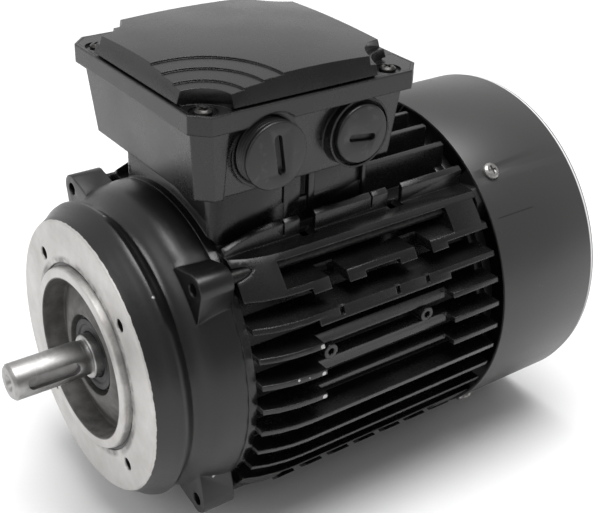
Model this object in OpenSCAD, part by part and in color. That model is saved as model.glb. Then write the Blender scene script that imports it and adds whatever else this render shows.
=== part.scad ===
// Totally enclosed, fan-cooled three-phase motor, frame size 71, small face flange.
// The shaft axis is the Y axis, the drive end points to -Y and the terminal box to +Z.
// The origin is where the shaft axis meets the drive-end flange face.

/* [Flange] */
// Outer diameter of the flange face
flange_d = 105; // [104:0.5:107]
// Diameter of the locating spigot
spigot_d = 70; // [69:0.5:71]
// Height of the spigot above the flange face
spigot_h = 2.5; // [1.5:0.5:3.5]
// Pitch circle of the four tapped flange holes
flange_pcd = 85; // [83:0.5:88]
// Tapping diameter of the flange holes
flange_hole_d = 5; // [4:0.1:5.5]

/* [Shaft] */
// Diameter of the shaft end
shaft_d = 14; // [12:0.5:15]
// Length of the shaft end in front of the flange face
shaft_l = 30; // [28:1:40]
// Width of the keyway
key_w = 5; // [3:0.5:5]
// Length of the keyway
key_l = 20; // [14:1:22]
// Angle of the keyway round the shaft, from +X towards +Z
key_angle = 8; // [-180:1:180]

/* [Frame] */
// Outer radius of the stator barrel, at the bottom of the cooling channels
barrel_r = 57; // [55:0.5:58]
// Radius that the tips of the cooling fins reach
fin_tip_r = 68.5; // [67:0.5:69]
// Thickness of a cooling fin
fin_t = 1.9; // [1.4:0.1:2.2]
// Rear end of the cooling fins
frame_y1 = 145; // [144:0.5:146]
// Radius of the four tie bolts from the shaft axis
tie_r = 64; // [63:0.25:64.25]

/* [Terminal box] */
// Half width of the box at its rim
box_rim_x = 45; // [44:0.5:47]
// Front end of the rim
box_rim_y0 = 22.6; // [21:0.2:24]
// Rear end of the rim
box_rim_y1 = 115.9; // [114:0.1:117]
// Height of the rim's top face above the shaft axis
box_rim_z = 105; // [104:0.5:107]
// How far the face of the front blanking plug stands out of its collar
plug_out = 6.3; // [4.5:0.3:8]

/* [Fan cowl] */
// Outer radius of the fan cowl
cowl_r = 69.25; // [69.2:0.05:70]
// Front edge of the fan cowl
cowl_y0 = 147.6; // [147:0.2:148.4]
// Rear face of the fan cowl
cowl_y1 = 201.5; // [200:0.5:206]

/* [Hidden] */
$fn = 64;

fit = 0.02;                 // gap left between pieces that seat on each other
run = 0.05;                 // running gap between turning and fixed pieces
cut = 0.5;                  // how far a cutter passes through a face

// Drive-end shield
ridge_r = 57.2;             // rounded ridge behind the flange face
lip_r = 60.3;               // rear lip of the shield and front ring of the frame
lip_y = 33;                 // rear face of the shield
lip_l = 6;                  // length of the locating lip inside the frame
bore_r = 52;                // bore of the frame
recess_r = 30.9;            // cast recess inside the spigot
recess_y = 6.5;             // floor of that recess
hub_y = 2;                  // front face of the seal hub
ear_y = 20;                 // front face of the four ears
ear_r = 5.6;                // rounding of an ear
corner_angles = [45, 135, 225, 315];
cowl_screw_angles = [51, 129, 231, 309];
cowl_screw_y = 156.8;

// Bearings, size 6203
brg_r = 20;
brg_w = 12;
brg_bore_r = 8.5;
brg_pitch_r = 14.25;
brg_ball_r = 3.3;
brg_balls = 8;
front_brg_y = 13;
rear_brg_y = 152;

// Rotor and stator
core_y0 = 53;
core_y1 = 127;
core_r = 29.7;
gap_r = 30;
stator_r = 51.9;
slots = 24;
rotor_slots = 18;

// Fan
fan_y0 = 171;
fan_seat_r = 6.5;
clip_seat_r = 5.9;          // floor of the circlip groove
clip_y = fan_y0 + 14.05;    // front side of the circlip groove

// Frame
fin_y0 = 36;                // front end of the cooling fins
fin_pitch_z = 9.8;          // spacing of the horizontal fins
top_fin_x = [5.5, 16.4, 27.3, 38.5];
seat_y = [61, 122];         // length of the shortened fins round the nameplate bosses
seat_r = 63;                // tip radius of those fins
frame_rear_y = frame_y1;    // rear face of the barrel
lug_front_y = 51.6;
lug_rear_y = [129, 143];
notch_y = [71.2, 111.5];    // notches in the outer top fins
corner_block_r = 69.15;     // radius that the bottom corner blocks reach
boss_y = [66.5, 112];       // nameplate screw bosses
boss_z = 13.2;
neck_x = 32;                // half width of the neck under the terminal box
neck_z = 72;                // top of the neck

// Terminal box
chamfer = 5.6;
box_mid_y = (box_rim_y0 + box_rim_y1) / 2;
box_half_y = (box_rim_y1 - box_rim_y0) / 2;
rim_h = 6.7;
gasket_t = 0.8;
lid_z0 = box_rim_z + gasket_t;
lid_top = 114.7;
// Each cable entry is a list: Y, Z, hole radius, collar radius, outer face of the collar.
front_entry = [51.5, 87.3, 12.2, 13.5, 41.5];
rear_entry = [89, 85.9, 10.1, 12.9, 44.2];
lid_x = box_rim_x - 4;      // half width of the lid's foot
lid_y = 42.8;               // half length of the lid's foot
lid_mid = [3, 66.3];        // the lid sits off the middle of the rim
screw_x = 36;               // lid screws, from the middle of the lid
screw_dy = 37.5;
pocket_x = 41.7;            // pockets round the lid screws, from the middle of the lid
pocket_dy = 42.2;
pocket_r = 13.2;
steps_r = [33.8, 26, 18.2]; // three curved steps that go down towards one corner
corner_step_r = 15.6;       // single step round the other three pockets
ear_top_z = box_rim_z;      // top of the lid's sunk corner ears
ear_bottom_z = box_rim_z - 2.8;
screw_seat_z = box_rim_z - 0.8;
box_floor_z = neck_z + 3 + 2 * fit;
lead_hole_y = [42, 50];
earth_x = -28;
earth_y = 58;

module about_y() { rotate([-90, 0, 0]) children(); }
module disc_y(r, y, l) { translate([0, y, 0]) rotate([-90, 0, 0]) cylinder(r = r, h = l); }
module ring_y(r, hole, y, l) {
    difference() {
        disc_y(r, y, l);
        disc_y(hole, y - cut, l + 2 * cut);
    }
}
// Copies round the shaft axis; the angle goes from +X towards +Z.
module at_angles(angles, r) {
    for (a = angles) rotate([0, -a, 0]) translate([r, 0, 0]) children();
}
module block(x, y, z) { translate([x[0], y[0], z[0]]) cube([x[1] - x[0], y[1] - y[0], z[1] - z[0]]); }

// ---- drive end -------------------------------------------------------------

module shield_profile() {
    spigot_r = spigot_d / 2;
    flange_r = flange_d / 2;
    lip_bore = bore_r - 3.4;
    polygon([
        [recess_r, -spigot_h], [spigot_r - 0.5, -spigot_h], [spigot_r, -spigot_h + 0.5],
        [spigot_r, 0.8], [spigot_r + 1.4, 0.8], [spigot_r + 1.4, 0],
        [flange_r - 0.7, 0], [flange_r, 0.7], [flange_r + 1.1, 3], [flange_r + 2.9, 6],
        [ridge_r - 0.6, 7.4], [ridge_r, 9.1], [ridge_r - 0.5, 10.8], [ridge_r - 2.4, 12.8],
        [ridge_r - 3.7, 14.6], [ridge_r - 3.2, 16.4], [ridge_r - 1.4, 18.4], [lip_r - 2.4, 20.4],
        [lip_r - 1.1, 24], [lip_r - 0.3, 29], [lip_r, 31.5], [lip_r, lip_y],
        [bore_r - fit, lip_y], [bore_r - fit, lip_y + lip_l], [lip_bore, lip_y + lip_l],
        [lip_bore, 31], [47.5, 24], [44, 20], [38, 17], [27, 16.5], [24.6, 19],
        [24.6, front_brg_y + brg_w + 0.6], [brg_r + fit, front_brg_y + brg_w + 0.6],
        [brg_r + fit, front_brg_y], [17, front_brg_y], [17, front_brg_y - 1],
        [11.5, front_brg_y - 1], [11.5, 10.2], [14 + fit, 10.2], [14 + fit, 6],
        [15.8, 6], [15.8, hub_y], [18, hub_y], [20, hub_y + 0.6], [recess_r - 1.4, recess_y],
        [recess_r, recess_y]
    ]);
}

// One ear: a rounded boss that widens towards the bell of the shield.
module ear_shape(out) {
    union() {
        translate([tie_r, 0]) circle(r = ear_r + out);
        polygon([[50, -12], [58, -10.2 - out], [tie_r + 1.8, -ear_r + 0.3 - out],
                 [tie_r + 1.8, ear_r - 0.3 + out], [58, 10.2 + out], [50, 12]]);
    }
}

module drive_end_shield() {
    color([0.09, 0.09, 0.1])
    difference() {
        union() {
            about_y() rotate_extrude($fn = 180) shield_profile();
            difference() {
                at_angles(corner_angles, 0)
                    translate([0, ear_y, 0]) rotate([-90, 0, 0]) linear_extrude(lip_y - ear_y) ear_shape(0);
                disc_y(54, ear_y - cut, lip_y - ear_y + 2 * cut);
            }
        }
        at_angles(corner_angles, tie_r) disc_y(2.45, ear_y - cut, lip_y - ear_y + 2 * cut);
        at_angles(corner_angles, flange_pcd / 2) disc_y(flange_hole_d / 2, -1, 13);
    }
}

module shaft_seal() {
    color([0.05, 0.05, 0.05])
    about_y() rotate_extrude() polygon([
        [14, 3.3], [13.7, 3], [11.8, 3], [11.2, 3.6], [10.2, 3.6], [9.2, 3.2], [brg_bore_r + run, 4.2],
        [brg_bore_r + run, 4.8], [9.6, 5.6], [10, 8.6], [12, 9.2], [12, 10], [13.7, 10], [14, 9.7]
    ]);
}

// ---- bearings --------------------------------------------------------------

module outer_race(y) {
    color([0.78, 0.79, 0.8])
    difference() {
        ring_y(brg_r, 16.7, y, brg_w);
        translate([0, y + brg_w / 2, 0]) about_y() rotate_extrude()
            translate([brg_pitch_r, 0]) circle(r = brg_ball_r + run);
    }
}

module inner_race(y) {
    color([0.78, 0.79, 0.8])
    difference() {
        ring_y(11.8, brg_bore_r, y, brg_w);
        translate([0, y + brg_w / 2, 0]) about_y() rotate_extrude()
            translate([brg_pitch_r, 0]) circle(r = brg_ball_r + run);
    }
}

module ball_set(y) {
    color([0.85, 0.86, 0.88])
    at_angles([for (i = [0:brg_balls - 1]) i * 360 / brg_balls], brg_pitch_r)
        translate([0, y + brg_w / 2, 0]) sphere(r = brg_ball_r, $fn = 32);
}

// Snap-in cage: a ring behind the balls with a finger between each pair.
module ball_cage(y) {
    mid = y + brg_w / 2;
    color([0.75, 0.6, 0.3])
    difference() {
        union() {
            ring_y(15.6, 12.9, mid + 3.6, 1);
            at_angles([for (i = [0:brg_balls - 1]) (i + 0.5) * 360 / brg_balls], brg_pitch_r)
                block([-1.2, 1.2], [mid - 1.6, mid + 4], [-1.4, 1.4]);
        }
        at_angles([for (i = [0:brg_balls - 1]) i * 360 / brg_balls], brg_pitch_r)
            translate([0, mid, 0]) sphere(r = brg_ball_r + 0.15, $fn = 32);
    }
}

module front_bearing_outer_race() { outer_race(front_brg_y); }
module front_bearing_inner_race() { inner_race(front_brg_y); }
module front_bearing_balls() { ball_set(front_brg_y); }
module front_bearing_cage() { ball_cage(front_brg_y); }
module rear_bearing_outer_race() { outer_race(rear_brg_y); }
module rear_bearing_inner_race() { inner_race(rear_brg_y); }
module rear_bearing_balls() { ball_set(rear_brg_y); }
module rear_bearing_cage() { ball_cage(rear_brg_y); }

// Spring washer that preloads the rear bearing.
module preload_washer() {
    color([0.6, 0.62, 0.65])
    ring_y(19.2, 16.2, rear_brg_y - 1.6, 1.6 - fit);
}

// ---- rotor -----------------------------------------------------------------

module rotor_shaft() {
    r = shaft_d / 2;
    seat = brg_bore_r - fit / 2;
    color([0.72, 0.73, 0.74])
    difference() {
        about_y() rotate_extrude($fn = 96) polygon([
            [0, -shaft_l], [r - 1, -shaft_l], [r, -shaft_l + 1], [r, -2.4], [r - 0.35, -2],
            [r - 0.35, 0], [brg_bore_r - 0.4, 0], [brg_bore_r, 0.4], [brg_bore_r, front_brg_y - 1],
            [seat, front_brg_y - 1], [seat, front_brg_y + brg_w], [10.5, front_brg_y + brg_w],
            [10.5, rear_brg_y], [seat, rear_brg_y], [seat, rear_brg_y + brg_w + 0.1],
            [7.5, rear_brg_y + brg_w + 0.4], [7.5, fan_y0 - fit], [fan_seat_r, fan_y0 - fit],
            [fan_seat_r, clip_y], [clip_seat_r, clip_y],
            [clip_seat_r, clip_y + 1.2], [fan_seat_r, clip_y + 1.2],
            [fan_seat_r, fan_y0 + 17.4], [fan_seat_r - 0.8, fan_y0 + 18.2], [0, fan_y0 + 18.2]
        ]);
        // closed keyway with round ends
        rotate([0, -key_angle, 0]) translate([r - 3, -5 - key_l / 2, 0]) rotate([0, 90, 0]) union() {
            translate([-key_w / 2, -key_l / 2 + key_w / 2, 0]) cube([key_w, key_l - key_w, 4]);
            for (s = [-1, 1]) translate([0, s * (key_l - key_w) / 2, 0]) cylinder(r = key_w / 2, h = 4);
        }
        // tapped centre hole in the shaft end
        disc_y(2.1, -shaft_l - 1, 12);
        about_y() translate([0, 0, -shaft_l - 0.01]) cylinder(r1 = 3.4, r2 = 2.1, h = 1.6);
        // seat of the small key under the fan
        block([fan_seat_r - 1.6, fan_seat_r + 1], [fan_y0 + 1, fan_y0 + 13], [-1.5, 1.5]);
    }
}

module rotor_core() {
    color([0.4, 0.4, 0.42])
    difference() {
        ring_y(core_r, 10.5 + fit / 2, core_y0, core_y1 - core_y0);
        at_angles([for (i = [0:rotor_slots - 1]) i * 360 / rotor_slots], 25.5)
            disc_y(2.2, core_y0 - cut, core_y1 - core_y0 + 2 * cut);
    }
}

// Cast squirrel cage: bars through the core, and end rings with small blades.
module rotor_cage() {
    color([0.75, 0.76, 0.78])
    union() {
        for (y = [core_y0 - 9, core_y1 + fit]) ring_y(28.4, 20, y, 9 - fit);
        at_angles([for (i = [0:rotor_slots - 1]) i * 360 / rotor_slots], 25.5)
            disc_y(2.2 - fit, core_y0 - 2, core_y1 - core_y0 + 4);
        at_angles([for (i = [0:8]) i * 40 + 10], 24.2)
            for (y = [core_y0 - 17, core_y1 + 8.5]) block([-3, 3], [y, y + 8.5], [-0.9, 0.9]);
    }
}

module fan_key() {
    color([0.6, 0.6, 0.62])
    block([fan_seat_r - 1.6 + fit, fan_seat_r + 1.2], [fan_y0 + 1.2, fan_y0 + 12.8], [-1.48, 1.48]);
}

// Radial fan with flat blades, so that it blows the same way in either direction.
module cooling_fan() {
    hub_l = 14;
    color([0.12, 0.12, 0.13])
    difference() {
        union() {
            disc_y(13, fan_y0, hub_l);
            about_y() translate([0, 0, fan_y0]) rotate_extrude() polygon([
                [12, 0], [22, 0], [40, 4], [58, 5], [58, 7], [40, 6], [22, 2.4], [12, 2.4]
            ]);
            at_angles([for (i = [0:8]) i * 40], 0) translate([0, fan_y0, -1]) linear_extrude(2)
                polygon([[12, 1.2], [12, 12], [18, 13], [26, 20], [54, 20], [57.4, 12], [57.4, 5.5]]);
        }
        disc_y(fan_seat_r + fit / 2, fan_y0 - cut, 30);
        block([fan_seat_r - 2, fan_seat_r + 1.25], [fan_y0 - cut, fan_y0 + 13], [-1.52, 1.52]);
    }
}

module fan_circlip() {
    color([0.35, 0.36, 0.38])
    difference() {
        ring_y(9, clip_seat_r + 0.03, clip_y + 0.1, 1);
        block([-2.2, 2.2], [clip_y - 1, clip_y + 3], [4, 10]);
    }
}

// ---- stator ----------------------------------------------------------------

module stator_core() {
    color([0.45, 0.45, 0.47])
    difference() {
        ring_y(stator_r, gap_r, core_y0, core_y1 - core_y0);
        at_angles([for (i = [0:slots - 1]) i * 360 / slots], 0) {
            translate([36.5, 0, 0]) disc_y(2.6, core_y0 - cut, core_y1 - core_y0 + 2 * cut);
            block([gap_r - 1, 34.6], [core_y0 - cut, core_y1 + cut], [-1.1, 1.1]);
            block([36.5, 41], [core_y0 - cut, core_y1 + cut], [-2.6, 2.6]);
        }
    }
}

// Copper coils: slot bundles joined by an end winding at each end.
module stator_windings() {
    color([0.72, 0.38, 0.16])
    union() {
        at_angles([for (i = [0:slots - 1]) i * 360 / slots], 0)
            block([35, 40.6], [core_y0 - 1, core_y1 + 1], [-1.9, 1.9]);
        for (y = [core_y0 - 12, core_y1 + 0.6])
            translate([0, y, 0]) about_y() rotate_extrude() polygon([
                [34.5, 0], [43, 0], [45.5, 2.5], [45.5, 9], [43, 11.4], [34.5, 11.4], [32.5, 9], [32.5, 2.5]
            ]);
    }
}

// Space between the fin tips and the barrel; the tips fall towards the drive end.
module fin_envelope() {
    about_y() rotate_extrude($fn = 180) polygon([
        [50, fin_y0], [fin_tip_r - 3.7, fin_y0], [fin_tip_r - 1.8, 42], [fin_tip_r - 0.5, 49],
        [fin_tip_r, 56], [fin_tip_r, frame_y1], [50, frame_y1]
    ]);
}

module horizontal_fin(z, t) { block([-70, 70], [fin_y0 - 1, frame_y1 + 1], [z - t / 2, z + t / 2]); }

module vertical_fin(x, side) {
    low = side > 0 ? 48 : -70;
    block([x - fin_t / 2, x + fin_t / 2], [fin_y0 - 1, frame_y1 + 1], [low, low + 22]);
}

// Fins, lugs and bosses, trimmed to the fin envelope.
module trimmed_fins() {
    intersection() {
        fin_envelope();
        union() {
            for (i = [-5:5]) horizontal_fin(i * fin_pitch_z, fin_t);
            for (x = top_fin_x, s = [-1, 1], side = [-1, 1]) vertical_fin(s * x, side);
            thick_fins();
            tie_lugs();
            side_slots_bosses();
            // raised ends beside the notches
            for (s = [-1, 1])
                block([s * 38.5 - 0.95, s * 38.5 + 0.95], [notch_y[1] - 9.6, notch_y[1] - 3.5], [50, 58]);
        }
    }
}

// Everything that stands on the barrel.
module fin_set() {
    difference() {
        union() {
            trimmed_fins();
            // bottom corner blocks on the lowest side fins
            intersection() {
                disc_y(corner_block_r, 54, 88);
                for (s = [-1, 1]) block(s > 0 ? [40, 70] : [-70, -40], [54, 142], [-51.5, -47.9]);
            }
        }
        nameplate_clearance();
        // the two outer top fins start lower at the drive end
        rotate([90, 0, 90]) for (s = [-1, 1]) translate([0, 0, s * 38.5 - 2]) linear_extrude(4)
            polygon([[fin_y0 - 2, 52.4], [49, 56.4], [49, 70], [fin_y0 - 2, 70]]);
        // spaces between the bottom corner blocks
        for (i = [0:5], s = [-1, 1])
            block(s > 0 ? [43, 70] : [-70, -43], [61.6 + i * 13.4, 67.4 + i * 13.4], [-53, -45]);
        // open notches in the two outer top fins
        for (y = notch_y, s = [-1, 1]) translate([s * 38.5, y, 51.2]) rotate([0, 90, 0]) {
            cylinder(r = 3.5, h = 6, center = true);
            translate([-8, 0, 0]) cube([16, 7, 6], center = true);
        }
        // narrow slits beside the notches
        for (y = [60.9, 100.5], s = [-1, 1])
            block([s * 38.5 - 3, s * 38.5 + 3], [y - 0.4, y + 0.4], [51.5, 62]);
        // gaps in the fin above the nameplate
        for (y = [73.2, 112.6], s = [-1, 1])
            block(s > 0 ? [46.4, 70] : [-70, -46.4], [y - 4, y + 4], [34, 44]);
        // small notches in the next fin
        for (y = [71, 96.7, 111]) block([60.4, 70], [y - 1, y + 1], [27.4, 30.2]);
    }
}

// Fins beside the nameplate bosses, which are thicker over the middle of the frame.
module thick_fins() {
    for (i = [1, 2, 3]) {
        z = i * fin_pitch_z;
        block([50, 70], seat_y, [z - 3.2, z + fin_t / 2]);
    }
}

module nameplate_clearance() {
    difference() {
        block([50, 72], seat_y, [-fin_pitch_z / 2, 2.5 * fin_pitch_z]);
        disc_y(seat_r, seat_y[0] - cut, seat_y[1] - seat_y[0] + 2 * cut);
    }
}

// Lugs at the four corners that the tie bolts pass through.
module tie_lugs() {
    for (sx = [-1, 1], sz = [-1, 1]) {
        x = sx > 0 ? [38, 70] : [-70, -38];
        z = sz > 0 ? [4 * fin_pitch_z, 5 * fin_pitch_z] : [-5 * fin_pitch_z, -4 * fin_pitch_z];
        block(x, [fin_y0, lug_front_y], z);
        block(x, lug_rear_y, z);
    }
}

// Thick ends beside each gap in the upper side fin, and a boss at the bottom of the gap.
module side_slots_bosses() {
    for (y = [73.2, 112.6], d = [-7.8, 7.8], s = [-1, 1]) {
        z = 4 * fin_pitch_z;
        block(s > 0 ? [48, 70] : [-70, -48], [y + d - 3.8, y + d + 3.8], [z - 2.8, z + fin_t / 2]);
    }
    for (y = [73.2, 112.6], s = [-1, 1])
        block(s > 0 ? [40, 46.4] : [-46.4, -40], [y - 2.3, y + 2.3], [36.4, 40.15]);
}

module base_screw_places() { for (x = [-20, 20], y = [50, 96]) translate([x, y, 0]) children(); }

// Neck under the terminal box; its side panels carry narrow slots and ribs.
module neck() {
    edge_r = 5;
    slot_z = 60;
    difference() {
        union() {
            block([-neck_x, neck_x], [fin_y0 + edge_r, 66], [44, neck_z]);
            block([-neck_x + edge_r, neck_x - edge_r], [fin_y0, 66], [44, neck_z]);
            for (s = [-1, 1])
                translate([s * (neck_x - edge_r), fin_y0 + edge_r, 44]) cylinder(r = edge_r, h = neck_z - 44);
            block([-neck_x + 0.5, neck_x - 0.5], [65, 103], [44, neck_z]);
            for (s = [-1, 1], y = [[76, 78.5], [100.5, 102]])
                block([s * neck_x - 1, s * neck_x + 1], y, [slot_z - 6, neck_z]);
        }
        for (s = [-1, 1])
            for (y = [[65, 66.2], [73.4, 76], [78.5, 79.1], [99.5, 100.5]])
                block(s > 0 ? [30.4, 34] : [-34, -30.4], y, [slot_z, neck_z + 1]);
    }
}

module stator_frame() {
    inner_front = lip_y + fit;
    color([0.08, 0.08, 0.09])
    difference() {
        union() {
            disc_y(barrel_r, inner_front, frame_rear_y - inner_front);
            disc_y(lip_r, inner_front, 3.4);
            disc_y(lip_r, frame_rear_y - 4, 4);
            fin_set();
            neck();
            // nameplate screw bosses
            for (y = boss_y) translate([50, y, boss_z]) rotate([0, 90, 0]) cylinder(r = 2.9, h = 12.5);
        }
        disc_y(bore_r, inner_front - cut, frame_rear_y - inner_front + 2 * cut);
        at_angles(corner_angles, tie_r) disc_y(2.7, fin_y0 - 2, frame_rear_y - fin_y0 + 4);
        // pocket in the neck, and the opening in front of the core for the leads
        difference() {
            block([-24, 24], [41, 101], [62, neck_z + 1]);
            base_screw_places() translate([0, 0, 60]) cylinder(r = 4.6, h = neck_z - 60);
        }
        block([-14, 14], [41, 51], [40, neck_z]);
        for (y = boss_y) translate([58, y, boss_z]) rotate([0, 90, 0]) cylinder(r = 1.35, h = 6);
        base_screw_places() translate([0, 0, 58]) cylinder(r = 1.65, h = neck_z - 56);
    }
}

// ---- rear end --------------------------------------------------------------

module rear_end_shield() {
    y0 = frame_rear_y + fit;
    color([0.1, 0.1, 0.11])
    difference() {
        union() {
            about_y() rotate_extrude($fn = 120) polygon([
                [bore_r - fit, y0 - 5], [bore_r - fit, y0], [lip_r + 0.2, y0], [lip_r + 0.2, y0 + 4],
                [lip_r - 3, y0 + 6], [46, y0 + 9], [30, y0 + 16], [25.5, rear_brg_y + brg_w],
                [24, rear_brg_y + brg_w + 2.4], [11, rear_brg_y + brg_w + 2.4],
                [11, rear_brg_y + brg_w + 0.6], [brg_r + fit, rear_brg_y + brg_w + 0.6],
                [brg_r + fit, rear_brg_y - 1.6], [17, rear_brg_y - 1.6], [17, rear_brg_y - 3.4],
                [26, y0 + 4], [40, y0 + 2], [bore_r - 3.4, y0 - 1], [bore_r - 3.4, y0 - 5]
            ]);
            difference() {
                at_angles(corner_angles, 0) translate([0, y0, 0]) rotate([-90, 0, 0])
                    linear_extrude(5.6) intersection() {
                        ear_shape(-0.8);
                        circle(r = cowl_r - 1.35);
                    }
                disc_y(54, y0 - cut, 8);
            }
            // pads that the cowl screws go into
            at_angles(cowl_screw_angles, 0) translate([57, y0 + 3, 0])
                block([-4, cowl_r - 1.4 - 57], [0, 15], [-4.2, 4.2]);
        }
        at_angles(corner_angles, tie_r) disc_y(2.7, y0 - cut, 8);
        at_angles(cowl_screw_angles, 0)
            translate([59, cowl_screw_y, 0]) rotate([0, 90, 0]) cylinder(r = 1.65, h = 12);
        // the bolt heads' room beside the cowl pads
        at_angles(corner_angles, tie_r) disc_y(4.9, y0 + 5.6, 16);
    }
}

module rear_seal() {
    y = rear_brg_y + brg_w + 0.7;
    color([0.05, 0.05, 0.05])
    ring_y(11 - fit, 7.5 + run, y, 1.6);
}

module tie_bolts() {
    head_y = frame_rear_y + 5.6 + 2 * fit;
    color([0.2, 0.2, 0.21])
    at_angles(corner_angles, tie_r) union() {
        disc_y(2.4, 24, head_y + 0.5 - 24);
        translate([0, head_y, 0]) rotate([-90, 0, 0]) rotate([0, 0, 30])
            cylinder(r = 8 / sqrt(3), h = 3.5, $fn = 6);
    }
}

module fan_cowl() {
    wall = 1;
    r = cowl_r;
    color([0.25, 0.26, 0.27])
    difference() {
        about_y() rotate_extrude($fn = 180) polygon([
            [r - wall, cowl_y0], [r, cowl_y0], [r, cowl_y1 - 5], [r - 0.6, cowl_y1 - 2.6],
            [r - 2.6, cowl_y1 - 0.6], [r - 5, cowl_y1], [0, cowl_y1], [0, cowl_y1 - wall],
            [r - 5.2, cowl_y1 - wall], [r - 3.2, cowl_y1 - 1.6], [r - 1.6, cowl_y1 - 3.2],
            [r - wall, cowl_y1 - 5]
        ]);
        // intake grille: rings of slots round a closed middle
        for (ring = [0:3]) {
            inner = 15 + ring * 10.5;
            count = 8 + ring * 4;
            at_angles([for (i = [0:count - 1]) (i + ring / 2) * 360 / count], 0)
                intersection() {
                    block([inner - 2, inner + 10], [cowl_y1 - 3, cowl_y1 + 1],
                          [-inner * PI / count + 1.6, inner * PI / count - 1.6]);
                    ring_y(inner + 6.5, inner, cowl_y1 - 3, 4);
                }
        }
        at_angles(cowl_screw_angles, 0)
            translate([60, cowl_screw_y, 0]) rotate([0, 90, 0]) cylinder(r = 2.1, h = 12);
    }
}

// Pan-head screw with a cross recess, drawn with its head up.
module cross_screw(r, head_r, head_h, l) {
    difference() {
        union() {
            translate([0, 0, -l]) cylinder(r = r, h = l + 0.2, $fn = 32);
            cylinder(r = head_r, h = head_h * 0.6, $fn = 40);
            translate([0, 0, head_h * 0.6])
                cylinder(r1 = head_r, r2 = head_r * 0.72, h = head_h * 0.4, $fn = 40);
        }
        for (a = [0, 90]) rotate([0, 0, a]) translate([-head_r * 0.55, -head_r * 0.14, head_h * 0.35])
            cube([head_r * 1.1, head_r * 0.28, head_h]);
    }
}

module cowl_screws() {
    color([0.62, 0.62, 0.6])
    at_angles(cowl_screw_angles, 0)
        translate([cowl_r + fit, cowl_screw_y, 0]) rotate([0, 90, 0]) cross_screw(1.6, 3.4, 1.9, 7.5);
}

// ---- terminal box ----------------------------------------------------------

// Rectangle with cut corners, centred on the box.
module box_outline(hx, hy, c) {
    polygon([[-hx + c, -hy], [hx - c, -hy], [hx, -hy + c], [hx, hy - c],
             [hx - c, hy], [-hx + c, hy], [-hx, hy - c], [-hx, -hy + c]]);
}
// Very thin outline round a middle point [X, Y].
module slice(mid, hx, hy, c, z) {
    translate([mid[0], mid[1], z]) linear_extrude(0.01) box_outline(hx, hy, c);
}
module lid_corners(x, dy) {
    for (i = [-1, 1], j = [-1, 1]) translate([lid_mid[0] + i * x, lid_mid[1] + j * dy, 0]) children();
}
module lid_screw_places() { lid_corners(screw_x, screw_dy) children(); }
module pocket_places() { lid_corners(pocket_x, pocket_dy) children(); }
// Cylinder on the axis of a cable entry, from x0 to x1.
module entry_disc(entry, r, x0, x1) {
    translate([x0, entry[0], entry[1]]) rotate([0, 90, 0]) cylinder(r = r, h = x1 - x0);
}
// Outline of the rim, drawn in by some distance, between two heights.
module rim_block(inset, z0, z1) {
    translate([0, box_mid_y, z0]) linear_extrude(z1 - z0)
        box_outline(box_rim_x - inset, box_half_y - inset, chamfer - inset / 2);
}
// Outline of the lid's foot, drawn in by some distance, between two heights.
module foot_block(inset, z0, z1) {
    translate([lid_mid[0], lid_mid[1], z0]) linear_extrude(z1 - z0)
        box_outline(lid_x - inset, lid_y - inset, chamfer - inset / 2);
}

module terminal_box_base() {
    z0 = neck_z + fit;
    rim_z0 = box_rim_z - rim_h;
    foot_x = 39.5;
    top_x = 41.7;
    top_mid = [1.7, 68.1];
    lean = atan((top_mid[0] + top_x - foot_x) / (rim_z0 - z0));
    color([0.08, 0.08, 0.09])
    difference() {
        union() {
            difference() {
                union() {
                    hull() {
                        slice([0, box_mid_y], foot_x, box_half_y - 5, chamfer - 0.6, z0);
                        slice(top_mid, top_x, 43.9, chamfer - 0.4, rim_z0);
                    }
                    rim_block(0, rim_z0, box_rim_z);
                }
                // shallow recess of the leaning wall that holds the plugs
                translate([foot_x, 0, z0]) rotate([0, lean, 0]) block([-1.5, 5], [36, 125], [-1, 25.9]);
                // room for the front plug in the edge of the rim
                entry_disc(front_entry, 14.3, front_entry[4], 50);
            }
            for (e = [front_entry, rear_entry]) entry_disc(e, e[3], 36, e[4]);
        }
        difference() {
            hull() {
                slice([0, box_mid_y], 36.4, box_half_y - 8, chamfer - 1, z0 + 3);
                slice(lid_mid, lid_x - 3.8, lid_y - 4.8, chamfer - 1, box_rim_z + 0.1);
            }
            // shelves under the lid's ears, columns for its screws, walls round the plug threads
            pocket_places() translate([0, 0, 94]) cylinder(r = 20.2, h = 12);
            lid_screw_places() translate([0, 0, z0]) cylinder(r = 4.6, h = 30);
            for (e = [front_entry, rear_entry]) entry_disc(e, e[2] + 2.4, 33, 43);
        }
        for (e = [front_entry, rear_entry]) entry_disc(e, e[2], 30, 46);
        // seat of the rear plug's head inside its collar
        entry_disc(rear_entry, 12.1, rear_entry[4] - 1.6, 46);
        // recesses that the lid's ears drop into
        intersection() {
            rim_block(1.1, ear_bottom_z - 0.05, box_rim_z + cut);
            pocket_places() translate([0, 0, 100]) cylinder(r = 17.1, h = 8);
        }
        lid_screw_places() translate([0, 0, box_rim_z - 8.5]) cylinder(r = 1.65, h = 9);
        block([-13, 13], lead_hole_y, [z0 - 1, z0 + 4]);
        base_screw_places() translate([0, 0, z0 - 1]) cylinder(r = 2.2, h = 5);
        translate([earth_x, earth_y, z0 - 1]) cylinder(r = 1.65, h = 6);
    }
}

module box_base_screws() {
    color([0.7, 0.68, 0.6])
    base_screw_places() translate([0, 0, box_floor_z]) cross_screw(1.6, 3.6, 2.2, 15);
}

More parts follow.
